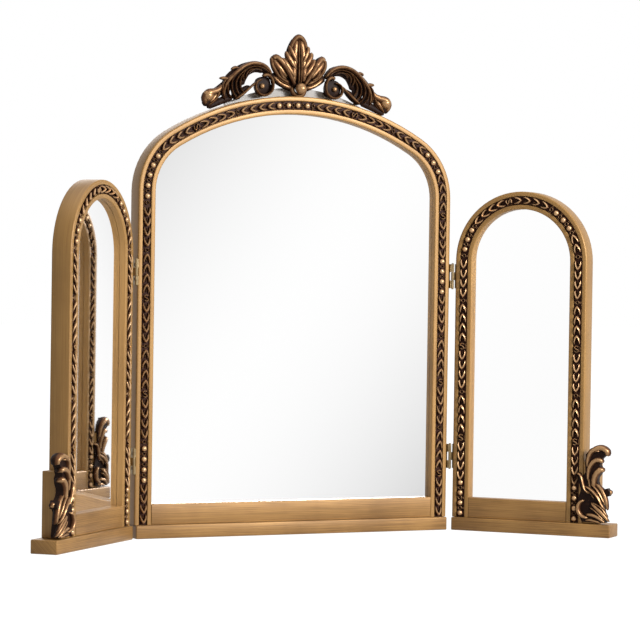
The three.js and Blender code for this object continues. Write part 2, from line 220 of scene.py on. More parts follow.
def run_length(panel, x, z):
    """How far a point lies along the run, from the foot of the right stile."""
    side, crown_z, split = arcs(panel)
    spring = panel["spring"]
    shoulder, crown = panel["shoulder"] - GRAIN_LINE, panel["crown"] - GRAIN_LINE
    whole = 2 * spring + 2 * shoulder * split + crown * (pi - 2 * split)
    if z <= spring:
        return z if x > 0 else whole - z
    angle = atan2(z - crown_z, x)
    if split <= angle <= pi - split:
        return spring + shoulder * split + crown * (angle - split)
    bend = shoulder * atan2(z - spring, abs(x) - side)
    return spring + bend if x > 0 else whole - spring - bend


def arch_inset(panel, x, z):
    """How far inside the panel's outer line a point lies."""
    side, crown_z, split = arcs(panel)
    if z <= panel["spring"]:
        return panel["half"] - abs(x)
    if atan2(z - crown_z, abs(x)) >= split:
        return panel["crown"] - hypot(x, z - crown_z)
    return panel["shoulder"] - hypot(abs(x) - side, z - panel["spring"])


def grain_map(bm, along):
    """UV map in metres: along the piece, then across it and over its edges."""
    layer = bm.loops.layers.uv.new("grain")
    for face in bm.faces:
        for loop in face.loops:
            loop[layer].uv = along(loop.vert.co)


def finished(name, bm, material, body, stands_for, place=None, crease=32):
    """Makes the object, turns it into place in its mesh, and hangs it on its body."""
    bmesh.ops.remove_doubles(bm, verts=bm.verts, dist=1e-6)
    bmesh.ops.recalc_face_normals(bm, faces=bm.faces)
    if place:
        bmesh.ops.transform(bm, matrix=place, verts=bm.verts)
    mesh = bpy.data.meshes.new(name)
    bm.to_mesh(mesh)
    bm.free()
    mesh.shade_smooth()
    mesh.set_sharp_from_angle(angle=radians(crease))
    mesh.materials.append(material)
    piece = bpy.data.objects.new(name, mesh)
    scene.collection.objects.link(piece)
    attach(piece, body)
    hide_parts(*stands_for)


def group(name, sockets_in, sockets_out):
    """An empty shader node group with its sockets."""
    made = bpy.data.node_groups.new(name, "ShaderNodeTree")
    for label, kind, value in sockets_in:
        socket = made.interface.new_socket(label, in_out="INPUT", socket_type="NodeSocket" + kind)
        if value is not None:
            socket.default_value = value
    for label, kind in sockets_out:
        made.interface.new_socket(label, in_out="OUTPUT", socket_type="NodeSocket" + kind)
    return made, made.nodes.new("NodeGroupInput").outputs, made.nodes.new("NodeGroupOutput")


# Fine brush streaks along the grain and slow changes of tone.
streaks, given, result = group(
    "brushed gold paint",
    [
        ("Vector", "Vector", None),
        ("Place", "Vector", None),
        ("Light", "Color", (0.4, 0.2, 0.1, 1)),
        ("Dark", "Color", (0.2, 0.1, 0.05, 1)),
        ("Streaks across", "Float", 900.0),
        ("Strength", "Float", 0.5),
    ],
    [("Color", "Color"), ("Roughness", "Float"), ("Height", "Float")],
)
scales = add_node(streaks, "CombineXYZ", {"X": 9, "Y": given["Streaks across"], "Z": 1})
drawn_out = add_node(
    streaks, "VectorMath", {0: given["Vector"], 1: scales.outputs[0]}, operation="MULTIPLY"
)
brush = add_node(
    streaks, "TexNoise", {"Vector": drawn_out.outputs[0], "Scale": 1, "Detail": 4, "Roughness": 0.6}
).outputs["Fac"]
cloud = add_node(streaks, "TexNoise", {"Vector": given["Place"], "Scale": 11, "Detail": 3}).outputs["Fac"]
slow = add_node(streaks, "Math", {0: cloud, 1: 0.35}, operation="MULTIPLY")
both = add_node(streaks, "Math", {0: brush, 1: 0.65, 2: slow.outputs[0]}, operation="MULTIPLY_ADD")
spread = add_node(streaks, "MapRange", {"Value": both.outputs[0], "From Min": 0.38, "From Max": 0.6})
mask = add_node(streaks, "Math", {0: spread.outputs["Result"], 1: given["Strength"]}, operation="MULTIPLY")
paint = add_node(
    streaks, "Mix", {"Factor": mask.outputs[0], "A": given["Light"], "B": given["Dark"]}, data_type="RGBA"
)
rough = add_node(streaks, "MapRange", {"Value": brush, "To Min": 0.36, "To Max": 0.5})
feeds = {"Color": paint.outputs["Result"], "Roughness": rough.outputs["Result"], "Height": brush}
wire(streaks, result, feeds)


def painted_with(coating, name, settings, bump_strength, bump_deep):
    """A material whose colour, roughness and height come from a group, and its group node."""
    made, tree, shader = new_material(name)
    painted = add_node(tree, "Group", settings, node_tree=coating)
    relief = {"Strength": bump_strength, "Distance": bump_deep, "Height": painted.outputs["Height"]}
    bump = add_node(tree, "Bump", relief)
    feeds = {"Base Color": painted.outputs["Color"], "Roughness": painted.outputs["Roughness"]}
    wire(tree, shader, {**feeds, "Normal": bump.outputs["Normal"]})
    return made, tree, shader, painted


def gold_paint(name, light, dark, strength=0.6):
    settings = {"Light": (*light, 1), "Dark": (*dark, 1), "Strength": strength}
    made, tree, shader, painted = painted_with(streaks, name, settings, 0.12, 0.0004)
    grain = add_node(tree, "UVMap", uv_map="grain").outputs["UV"]
    wire(tree, painted, {"Vector": grain, "Place": add_node(tree, "TexCoord").outputs["Object"]})
    wire(tree, shader, {"Metallic": 0.22, "Specular IOR Level": 0.38})
    return made


stile_gold = gold_paint("antique gold, frames", (0.35, 0.19, 0.056), (0.2, 0.1, 0.028))

FRAME_SECTION = [
    (0, HALF_THICK, 0.0012),
    (0, -HALF_THICK, 0.0022),
    (CHANNEL[0], -HALF_THICK, 0.0007),
    (CHANNEL[0], -HALF_THICK + CHANNEL_DEEP, 0),
    (CHANNEL[1], -HALF_THICK + CHANNEL_DEEP, 0),
    (CHANNEL[1], -HALF_THICK, 0.0007),
    (SIGHT, -HALF_THICK, 0.0016),
    (SIGHT, REBATE_Y, 0),
    (REBATE, REBATE_Y, 0),
    (REBATE, HALF_THICK, 0.0005),
]


def arched_frame(name, panel, body, stands_for, place=None):
    bm = bmesh.new()
    run_along(bm, panel, FRAME_SECTION)
    grain_map(bm, lambda p: (run_length(panel, p.x, p.z), p.y + arch_inset(panel, p.x, p.z)))
    finished(name, bm, stile_gold, body, stands_for, place)


arched_frame("centre_arched_frame", CENTRE, "centre", ["centre_frame"])

# ---------------------------------------------------------------- bottom rails and plinth bars
# A rail of the same board is fitted between the stiles, with its glass rebate behind. The frame
# stands on a plinth bar with eased edges. Both are brushed from end to end, and each kind of bar
# takes its streaks from another stretch of the grain.
RAIL_TOP = 0.0515
RAIL_REBATE = 0.007
PLINTH_TOP = 0.0202
PLINTH_LIP = 0.0055
PLINTH_EASING = 0.0016
GLUE_GAP = 0.0003
RAIL_STRETCH, BLOCK_STRETCH, PLINTH_STRETCH = 3, 5, 7
rail_gold = gold_paint("antique gold, rails and plinths", (0.36, 0.192, 0.058), (0.16, 0.078, 0.022), 0.9)


def bottom_rail(name, panel, body, stands_for, place=None):
    bm = bmesh.new()
    reach = panel["half"] - SIGHT - GLUE_GAP
    corners = [
        (-HALF_THICK, FOOT_Z, 0.0004),
        (-HALF_THICK, RAIL_TOP, 0.0014),
        (REBATE_Y, RAIL_TOP, 0.0004),
        (REBATE_Y, RAIL_TOP - RAIL_REBATE, 0),
        (HALF_THICK, RAIL_TOP - RAIL_REBATE, 0.0006),
        (HALF_THICK, FOOT_Z, 0.0006),
    ]
    face = section(bm, corners, lambda y, z: (-reach, y, z))
    pull(bm, face, (2 * reach, 0, 0))
    grain_map(bm, lambda p: (p.x + RAIL_STRETCH, p.y - p.z))
    finished(name, bm, rail_gold, body, stands_for, place)


def eased_bar(name, low, high, easing, body, stands_for, place=None):
    """A bar with rounded edges; an upright one is painted as the stiles are, up its height."""
    bm = bmesh.new()
    bmesh.ops.create_cube(bm, size=1)
    low, high = Vector(low), Vector(high)
    bmesh.ops.scale(bm, vec=high - low, verts=bm.verts)
    bmesh.ops.translate(bm, vec=(high + low) / 2, verts=bm.verts)
    bmesh.ops.bevel(
        bm, geom=bm.edges[:], offset=easing, segments=3, profile=0.5, material=-1, affect="EDGES"
    )
    if high.z - low.z > high.x - low.x:
        grain_map(bm, lambda p: (p.z + BLOCK_STRETCH, p.x + p.y))
        paint = stile_gold
    else:
        grain_map(bm, lambda p: (p.x + PLINTH_STRETCH, p.y - p.z))
        paint = rail_gold
    finished(name, bm, paint, body, stands_for, place)


bottom_rail("centre_rail", CENTRE, "centre", ["centre_bottom_rail"])
low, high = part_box("centre_plinth")
eased_bar("centre_plinth_bar", low, high, PLINTH_EASING, "centre", ["centre_plinth"])

# ---------------------------------------------------------------- carved strip of husks and pearls
# Composition moulding glued into the channel: cupped husks in fours, pearls with collars between,
# and small scrolled rosettes, in gold rubbed over dark red-brown.
# Bead sides turned from the front are painted darker, as painted shade.
STRIP_Y = -0.0128
STRIP_LINE = 0.01385  # its middle, in from the frame's outer line
STRIP_BED = 0.0032
STRIP_START = 0.002
BEAD_TALL = 0.004
SQUEEZED_IN = 0.004  # how much too long a last bead may be

# A dark ground, bronze where the rub value is middling, and gold where it is high. The value holds real
# wear on the heights and painted shade on faces turned from the front.
rubbed, given, result = group(
    "gold rubbed over dark ground",
    [
        ("Vector", "Vector", None),
        ("Wear and shade", "Float", 0.5),
        ("Gold", "Color", (0.4, 0.2, 0.1, 1)),
        ("Bronze", "Color", (0.15, 0.07, 0.03, 1)),
        ("Ground", "Color", (0.03, 0.01, 0.01, 1)),
        ("Blotch size", "Float", 260.0),
        ("Edge", "Float", 0.35),
    ],
    [("Color", "Color"), ("Roughness", "Float"), ("Metal", "Float"), ("Height", "Float")],
)
blotch = add_node(
    rubbed, "TexNoise", {"Vector": given["Vector"], "Scale": given["Blotch size"], "Detail": 4}
).outputs["Fac"]
uneven = add_node(rubbed, "Math", {0: blotch, 1: 0.5, 2: -0.25}, operation="MULTIPLY_ADD")
height = add_node(rubbed, "Math", {0: given["Wear and shade"], 1: uneven.outputs[0]}, operation="ADD").outputs[0]
full = add_node(rubbed, "Math", {0: given["Edge"], 1: 0.3}, operation="ADD")
gilt = add_node(
    rubbed,
    "MapRange",
    {"Value": height, "From Min": given["Edge"], "From Max": full.outputs[0]},
    interpolation_type="SMOOTHSTEP",
).outputs["Result"]
bared = add_node(
    rubbed,
    "MapRange",
    {"Value": height, "From Min": 0.12, "From Max": 0.5},
    interpolation_type="SMOOTHSTEP",
).outputs["Result"]
under = add_node(
    rubbed, "Mix", {"Factor": bared, "A": given["Ground"], "B": given["Bronze"]}, data_type="RGBA"
)
coat = add_node(
    rubbed, "Mix", {"Factor": gilt, "A": under.outputs["Result"], "B": given["Gold"]}, data_type="RGBA"
)
rough = add_node(rubbed, "MapRange", {"Value": gilt, "To Min": 0.5, "To Max": 0.32})
metal = add_node(rubbed, "Math", {0: bared, 1: 0.6}, operation="MULTIPLY")
wire(
    rubbed,
    result,
    {
        "Color": coat.outputs["Result"],
        "Roughness": rough.outputs["Result"],
        "Metal": metal.outputs[0],
        "Height": blotch,
    },
)


def rubbed_gold_and_shade(name, gold, bronze, ground, blotch_size, edge):
    settings = {"Gold": (*gold, 1), "Bronze": (*bronze, 1), "Ground": (*ground, 1)}
    settings |= {"Blotch size": blotch_size, "Edge": edge}
    made, tree, shader, painted = painted_with(rubbed, name, settings, 0.25, 0.0003)
    # the rub value read here is real wear on the heights together with painted shade on sides turned from
    # the front
    wear_and_shade_level = add_node(tree, "Attribute", attribute_name="wear_and_shade").outputs["Fac"]
    wire(tree, painted, {"Wear and shade": wear_and_shade_level, "Vector": add_node(tree, "TexCoord").outputs["Object"]})
    wire(tree, shader, {"Metallic": painted.outputs["Metal"], "Specular IOR Level": 0.08})
    return made


strip_gold_and_shade = rubbed_gold_and_shade(
    "rubbed gold and painted shade, carved strip", (0.5, 0.31, 0.16), (0.2, 0.1, 0.045), (0.035, 0.012, 0.007), 420, 0.36
)


def tube(bm, stations, sides, wear_and_shade_level=1.0):
    """A closed solid through stations (x, y, z, half width, half height) in millimetres, lying
    flat: it runs in XY and stands up in Z."""
    rings = []
    for i, (x, y, z, wide, tall) in enumerate(stations):
        back, ahead = stations[max(i - 1, 0)], stations[min(i + 1, len(stations) - 1)]
        run = Vector((ahead[0] - back[0], ahead[1] - back[1], 0)).normalized()
        across = Vector((-run.y, run.x, 0))
        rings.append(
            Matrix(
                (
                    (across.x * wide, 0, run.x, x),
                    (across.y * wide, 0, run.y, y),
                    (0, tall, 0, z),
                    (0, 0, 0, 1),
                )
            )
        )
    rings = [Matrix.Scale(0.001, 4) @ m for m in rings]
    loop = bmesh.ops.create_circle(bm, segments=sides, radius=1)["verts"]
    # top of each section worn to gold, sides darker as painted shade: the value falls from the top of the
    # ring to its sides
    wear_and_shade = bm.verts.layers.float.get("wear_and_shade")
    if wear_and_shade:
        for vert in loop:
            vert[wear_and_shade] = wear_and_shade_level * (0.15 + 0.85 * max(0.0, vert.co.y))
    bmesh.ops.transform(bm, matrix=rings[0], verts=loop)
    edges = [e for e in bm.edges if e.verts[0] in loop and e.verts[1] in loop]
    bmesh.ops.edgeloop_fill(bm, edges=edges)
    for last, following in zip(rings, rings[1:]):
        grown = bmesh.ops.extrude_edge_only(bm, edges=edges)["geom"]
        edges = [g for g in grown if isinstance(g, bmesh.types.BMEdge)]
        verts = [g for g in grown if isinstance(g, bmesh.types.BMVert)]
        bmesh.ops.transform(bm, matrix=following @ last.inverted(), verts=verts)
    bmesh.ops.edgeloop_fill(bm, edges=edges)


def template(name, build):
    """One bead's mesh, kept to be set many times."""
    bm = bmesh.new()
    build(bm)
    mesh = bpy.data.meshes.new(name)
    bm.to_mesh(mesh)
    bm.free()
    return mesh


def husk(bm):
    """A cup seen from its mouth: two arms that meet in a blunt tip, and a small tongue inside."""
    rim = [
        (-6.4, 4.2, 1.0, 0.8, 1.6),
        (-2.8, 4.4, 2.0, 1.4, 2.4),
        (1.4, 3.2, 2.9, 1.6, 2.9),
        (4.3, 1.6, 3.3, 1.8, 3.2),
        (6.0, 0.0, 3.3, 2.2, 3.3),
    ]
    tube(bm, rim + [(x, -y, z, w, h) for x, y, z, w, h in rim[-2::-1]], 6)
    tube(bm, [(-5, 0, 0.4, 0.5, 0.8), (-2, 0, 0.8, 1.0, 1.2), (0.5, 0, 0.6, 0.4, 0.6)], 5)


def pearl(bm):
    bmesh.ops.create_uvsphere(bm, u_segments=10, v_segments=6, radius=0.0046)
    bmesh.ops.translate(bm, verts=bm.verts, vec=(0, 0, 0.0018))


def collar(bm):
    """Two low bars across the strip with a dimpled ring between them."""
    ring = [(2.5 * cos(a * pi / 4), 2.9 * sin(a * pi / 4), 1.4, 0.75, 1.7) for a in range(9)]
    tube(bm, ring, 5)
    for side in (-1, 1):
        tube(bm, [(-1.5, 5.0 * side, 1.0, 0.9, 1.6), (1.5, 5.0 * side, 1.0, 0.9, 1.6)], 5)


def rosette(bm):
    """A small S scroll between two low bars."""
    curl = [(-3.6, -2.8), (-4.8, 0.4), (-2.8, 3.4), (-0.4, 1.4), (0.4, -1.4), (2.8, -3.4), (4.8, -0.4),
            (3.6, 2.8)]
    tube(bm, [(x, y, 2.4, 1.15, 2.8) for x, y in curl], 6)
    for side in (-1, 1):
        tube(bm, [(-4, 5.1 * side, 0.8, 0.8, 1.6), (4, 5.1 * side, 0.8, 0.8, 1.6)], 5)


# pitch along the strip, shape, and turn
BEADS = {
    "B": (0.0150, template("husk back", husk), pi),
    "F": (0.0150, template("husk forward", husk), 0),
    "P": (0.0092, template("pearl", pearl), 0),
    "o": (0.0066, template("collar", collar), 0),
    "O": (0.0105, template("wide collar", collar), 0),
    "S": (0.0125, template("rosette", rosette), 0),
}


def on_run(panel, far):
    """Point and direction at a distance along the strip, from the foot of the left stile."""
    side, crown_z, split = arcs(panel)
    spring = panel["spring"] - FOOT_Z
    edge = panel["half"] - STRIP_LINE
    shoulder, crown = panel["shoulder"] - STRIP_LINE, panel["crown"] - STRIP_LINE
    bend, top = shoulder * split, crown * (pi - 2 * split)
    if far < spring:
        return (-edge, FOOT_Z + far), (0, 1)
    far -= spring
    for middle, centre_z, radius, start, length in (
        (-side, panel["spring"], shoulder, pi, bend),
        (0, crown_z, crown, pi - split, top),
        (side, panel["spring"], shoulder, split, bend),
    ):
        if length > 1e-6 and far < length:
            a = start - far / radius
            return (middle + radius * cos(a), centre_z + radius * sin(a)), (sin(a), -cos(a))
        far -= length
    return (edge, panel["spring"] - far), (0, -1)


def whole_run(panel):
    """Length of the strip from foot to foot."""
    _, _, split = arcs(panel)
    shoulders = 2 * (panel["shoulder"] - STRIP_LINE) * split
    return 2 * (panel["spring"] - FOOT_Z) + shoulders + (panel["crown"] - STRIP_LINE) * (pi - 2 * split)


def carved_strip(name, panel, left_run, crown_run, right_run, body, stands_for, place=None):
    """Left and right runs are set from their feet upwards, and the crown run fills what is left."""
    bm = bmesh.new()
    near, away = CHANNEL[0] + GLUE_GAP, CHANNEL[1] - GLUE_GAP
    bed = [
        (near, -HALF_THICK + STRIP_BED, 0),
        (near, STRIP_Y, 0.0004),
        (away, STRIP_Y, 0.0004),
        (away, -HALF_THICK + STRIP_BED, 0),
    ]
    run_along(bm, panel, bed)
    length = whole_run(panel)

    def set_bead(letter, far, flip):
        _, shape, turn = BEADS[letter]
        (x, z), (across, up) = on_run(panel, far)
        turn += pi if flip else 0
        lie = Matrix(((across, up, 0, x), (0, 0, -1, STRIP_Y), (up, -across, 0, z), (0, 0, 0, 1)))
        before = len(bm.verts)
        bm.from_mesh(shape)
        bm.verts.ensure_lookup_table()
        bmesh.ops.transform(bm, matrix=lie @ Matrix.Rotation(turn, 4, "Z"), verts=bm.verts[before:])

    ends = []
    for letters, flip in ((left_run, False), (right_run, True)):
        far = STRIP_START
        for letter in letters.replace(" ", ""):
            pitch = BEADS[letter][0]
            set_bead(letter, length - far - pitch / 2 if flip else far + pitch / 2, flip)
            far += pitch
        ends.append(far)
    gap = length - sum(ends)
    letters, filled = [], 0
    for letter in (crown_run * 20).replace(" ", ""):
        if filled + BEADS[letter][0] > gap + SQUEEZED_IN:
            break
        letters.append(letter)
        filled += BEADS[letter][0]
    far, stretch = ends[0], gap / filled if filled else 1
    for letter in letters:
        pitch = BEADS[letter][0] * stretch
        set_bead(letter, far + pitch / 2, False)
        far += pitch
    bmesh.ops.recalc_face_normals(bm, faces=bm.faces)
    bm.normal_update()
    # Gold where a bead stands high (rubbed finish), times how squarely its face turns to the front: painted
    # shade on the sides turned away.
    wear_and_shade = bm.verts.layers.float.new("wear_and_shade")
    for vert in bm.verts:
        height = max(0.0, min(1.0, (STRIP_Y - vert.co.y) / BEAD_TALL))
        vert[wear_and_shade] = height * max(0.0, -vert.normal.y)
    finished(name, bm, strip_gold_and_shade, body, stands_for, place, 60)


carved_strip(
    "centre_carved_strip",
    CENTRE,
    "BBBB PoPoPoP O BBBB S FFFF O BBBB S FFFF O BBBB O PoPoPoPoPo",
    "BBBB S FFFF O BBBB PoPoPoP O",
    "BBBB S FFFF O BBBB S FFFF O BBBB PoPoPoP BBBB S FFFF",
    "centre",
    ["centre_moulding"],
)

# ---------------------------------------------------------------- wings
# Each wing is a narrower frame with a half-round head on its own plinth bar, which runs on past the
# outer stile under a corner block. Both turn on the pins of their butt hinges.
WING = {"half": 0.1081, "spring": 0.4227, "shoulder": 0.1081, "crown": 0.1081}
PIN_OUT = 0.0036
OPENS_TO = 120
BLOCK_W = 0.0213
BLOCK_TOP = 0.1155
BLOCK_EASING = 0.0012
PLINTH_REACH = 0.0453  # past the outer stile
PLINTH_SHORT = 0.001  # at the hinge end
WING_PLACES = {}
for joint in frame["joints"]:
    side = -1 if joint["child"] == "left_wing" else 1
    fold = radians(OPENS_TO - joint["range_deg"][1])
    pin = Vector(joint["pos_m"])
    WING_PLACES[side] = (
        Matrix.Translation(pin)
        @ Matrix.Rotation(-side * fold, 4, "Z")
        @ Matrix.Translation((side * (WING["half"] + PIN_OUT), -pin.y, 0))
    )

WING_RUN = "PoPoPoP BBBB S FFFF O BBBB S FFFF O BBBB O"
WING_CROWN_RUN = "PoPoPo BBBB S FFFF O"
for side, name in ((-1, "left_wing"), (1, "right_wing")):
    place = WING_PLACES[side]
    arched_frame(name + "_arched_frame", WING, name, [name + "_frame"], place)
    bottom_rail(name + "_rail", WING, name, [name + "_bottom_rail"], place)
    inner, outer = side * (PLINTH_SHORT - WING["half"]), side * (WING["half"] + PLINTH_REACH)
    depth = HALF_THICK + PLINTH_LIP
    low = (min(inner, outer), -depth, 0)
    high = (max(inner, outer), depth, PLINTH_TOP)
    eased_bar(name + "_plinth_bar", low, high, PLINTH_EASING, name, [name + "_plinth"], place)
    inner = side * (WING["half"] + GLUE_GAP)
    outer = inner + side * BLOCK_W
    low = (min(inner, outer), -HALF_THICK, FOOT_Z)
    high = (max(inner, outer), HALF_THICK, BLOCK_TOP)
    eased_bar(name + "_block", low, high, BLOCK_EASING, name, [name + "_corner_block"], place)
    carved_strip(
        name + "_carved_strip", WING, WING_RUN, WING_CROWN_RUN, WING_RUN, name, [name + "_moulding"], place
    )

# ---------------------------------------------------------------- crest
# One resin casting screwed to a small grey board behind the arch: an upright acanthus leaf with a
# smaller leaf to each side, and a pair of ribbed scrolls that end in round curls.
FACE_Y = -0.003
GROUND_WORN = 0.15
cast_gold_and_shade = rubbed_gold_and_shade(
    "rubbed gold and painted shade, castings", (0.33, 0.19, 0.09), (0.11, 0.048, 0.022), (0.013, 0.005, 0.003), 150, 0.64
)


def eased(points, steps=3):
    """A smooth line through points of any number of values."""
    line = []
    for i in range(len(points) - 1):
        p0, p1 = points[max(i - 1, 0)], points[i]
        p2, p3 = points[i + 1], points[min(i + 2, len(points) - 1)]
        for k in range(steps):
            t = k / steps
            line.append(
                tuple(
                    0.5
                    * (
                        2 * b
                        + (c - a) * t
                        + (2 * a - 5 * b + 4 * c - d) * t * t
                        + (3 * b - a - 3 * c + d) * t**3
                    )
                    for a, b, c, d in zip(p0, p1, p2, p3)
                )
            )
    line.append(tuple(points[-1]))
    return line


def sprig(bm, points, mirrored=False, sides=8, wear_and_shade_level=0.85):
    """A rounded, tapering stroke through points (x, z, lift, half width, half height)."""
    line = eased(points)
    for end in (0, -1):
        x, z, lift, wide, tall = line[end]
        line[end] = (x, z, lift - tall * 0.3, wide * 0.35, tall * 0.35)
    for flip in (1, -1) if mirrored else (1,):
        tube(bm, [(flip * x, z, lift, wide, tall) for x, z, lift, wide, tall in line], sides, wear_and_shade_level)


def knob(bm, x, z, lift, radius, mirrored=False):
    """A ball, most worn on its front-facing crown, with painted shade darkening round its sides."""
    wear_and_shade = bm.verts.layers.float["wear_and_shade"]
    for flip in (1, -1) if mirrored else (1,):
        ball = bmesh.ops.create_uvsphere(bm, u_segments=20, v_segments=12, radius=radius / 1000)["verts"]
        for vert in ball:
            vert[wear_and_shade] = 0.85 + 0.35 * vert.co.z * 1000 / radius
        bmesh.ops.translate(bm, verts=ball, vec=(flip * x / 1000, z / 1000, lift / 1000))


def stood_up(front):
    """Turns work that lies flat upright, with its back at the depth given."""
    return Matrix(((1, 0, 0, 0), (0, 0, -1, front), (0, 1, 0, 0), (0, 0, 0, 1)))


bm = bmesh.new()
bm.verts.layers.float.new("wear_and_shade")
# dark ground: broad low strokes under the leaf, the side leaves, the volutes and the scrolls
for ground in (
    [(2, 682, 0, 9, 3.5), (5, 705, 0, 16, 3.5), (5, 728, 0, 17, 3.5), (4, 744, -0.5, 13, 3.5),
     (1, 758, -1, 7, 3)],
    [(8, 684, 0, 8, 3.5), (20, 697, 0, 11, 3.5), (32, 712, 0, 12, 3.5), (39, 723, 0, 9, 3.5),
     (43, 729, 0, 5, 3)],
    [(6, 679, 0, 5, 3.5), (20, 685, 0, 6, 3.5), (34, 693, 0, 7, 3.5), (46, 701, 0, 6, 3.5)],
    [(45, 685, 1, 9, 3), (51, 684, 1, 14, 3), (61, 682.5, 1, 14.5, 3), (68, 680, 1, 12, 3),
     (73, 679, 1, 7, 3)],
    [(56, 706, 0, 5, 3), (72, 709, 0, 6.5, 3), (86, 704.5, 0, 8, 3), (93, 694, 0, 7.5, 3),
     (96, 682, 0, 6, 3)],
    [(46, 698, 0, 4, 4), (58, 709, 0, 6.5, 4), (75, 713, 0, 6.5, 4), (91, 708.5, 0, 7.5, 4),
     (105, 699, 0, 8.5, 4), (116, 687, 0, 9, 4), (121, 673, 0, 8, 4), (118, 659, 0, 5, 3.5)],
    [(92, 706, 0, 4, 3), (99, 695, 0, 8, 3), (103, 682, 0, 10, 3), (102, 671, 0, 9, 3),
     (104, 660, 0, 6, 3)],
    [(80, 682, 0, 3, 3), (91, 674, 0, 6, 3), (101, 665, 0, 5, 3)],
    [(118, 684, 0, 7, 4), (130, 674, 0, 7.5, 4), (142, 664, 0, 8.5, 4), (151, 656, 0, 8, 4),
     (155, 649, 0, 4, 3)],
    [(108, 664, 0, 5, 3), (122, 660, 0, 6, 3), (137, 653, 0, 5, 3), (150, 647, 0, 4, 3)],
):
    sprig(bm, ground, True, 10, GROUND_WORN)
# boss, and the curled cup under it
knob(bm, 0, 680.4, 13.9, 8.6)
sprig(bm, [(-13, 684, 3, 3, 4), (-8, 673, 4, 4, 5), (0, 669.5, 5, 4, 5), (8, 673, 4, 4, 5),
           (13, 684, 3, 3, 4)])
# upright leaf: twin midribs, cupped tip, three lobes to each side
sprig(bm, [(1.7, 688, 8, 1.3, 3), (2.1, 705, 9.5, 1.5, 3), (2, 725, 9, 1.4, 3), (1.5, 744, 7, 1.2, 2.6),
           (0.8, 757, 4, 1, 2)], True)
sprig(bm, [(8.5, 689, 4, 4, 4), (9, 705, 5.5, 5.5, 4.5), (7.5, 725, 5.5, 5.5, 4), (6, 742, 4.5, 5, 4),
           (3, 756, 2, 4.5, 4)], True)
sprig(bm, [(13.5, 741, 2, 3, 3.5), (10, 751, 3, 3.6, 4.5), (5, 757.5, 3.5, 4, 5), (0, 760, 3.5, 4, 5),
           (-5, 757.5, 3.5, 4, 5), (-10, 751, 3, 3.6, 4.5), (-13.5, 741, 2, 3, 3.5)])
for root, tip, fat in (((4, 718), (16, 746), 3.6), ((5, 708), (22, 737), 4.2), ((7, 697), (27, 727), 4.4)):
    (x0, z0), (x1, z1) = root, tip
    wide, high = x1 - x0, z1 - z0
    lobe = [
        (x0, z0, 8, 1, 2),
        (x0 + 0.45 * wide, z0 + 0.38 * high, 8.5, fat, 3.2),
        (x0 + 0.85 * wide, z0 + 0.75 * high, 7, fat, 3.2),
        (x1, z1, 4, fat * 0.6, 2.5),
    ]
    sprig(bm, lobe, True)
    vein = [
        (x0 + 3, z0 - 2, 5, 1, 2),
        (x0 + 0.7 * wide + 3, z0 + 0.4 * high, 6, 1.2, 2.4),
        (x1 + 1.5, z1 - 3, 3.5, 1, 2),
    ]
    sprig(bm, vein, True)
# leaf to each side, with a strong inner rib and a rolled tip
sprig(bm, [(8, 686, 8, 2.6, 4), (15, 697, 10, 3.2, 4.5), (24, 711, 10.5, 4, 5), (32, 722, 8.5, 4.6, 5),
           (39, 727.5, 5, 4.6, 5), (44, 724, 3.5, 3.6, 4.5)], True)
sprig(bm, [(45, 727, 2, 2.6, 3.6), (45, 717, 4, 3, 4), (40, 706, 5, 3.2, 4), (30, 696, 5, 3, 4),
           (16, 688, 5, 3, 4)], True)
sprig(bm, [(19, 697, 5, 3, 3), (28, 706, 6, 5, 3.8), (37, 716, 5.5, 5, 3.8), (42, 724, 3, 3, 3)], True)
sprig(bm, [(22, 694, 7, 1.2, 3), (29, 698, 8.5, 2.6, 3.4), (33, 706, 8, 2.8, 3.4),
           (32, 714, 6, 1.6, 2.4)], True)
sprig(bm, [(12, 682, 4, 3, 3.5), (22, 684, 4.5, 3.5, 3.5), (32, 689, 4, 3.4, 3.5),
           (42, 698, 3, 3, 3.4)], True)
sprig(bm, [(16, 686, 6.5, 1, 2.6), (27, 689, 7.5, 1.2, 2.6), (38, 697, 6, 1.1, 2.4)], True)
# volute: a winding rim and a pearl in its eye
sprig(bm, [(62, 698, 6.5, 2.6, 3.6), (54, 699.5, 7.5, 2.9, 4.4), (47, 694, 7.5, 2.2, 5),
           (44.6, 684, 7.5, 2, 5.5), (47.5, 674.5, 7.5, 2, 5.5), (56, 668.7, 7.5, 2, 5.5),
           (66, 669.6, 7.5, 2, 5), (72.6, 676.5, 7.5, 1.9, 4.5), (72.8, 685, 7, 1.6, 4),
           (68, 690.5, 6.5, 1.3, 3.5), (61.5, 691.5, 5.5, 1, 2.6)], True)
knob(bm, 61.4, 682.2, 5, 4.2, True)
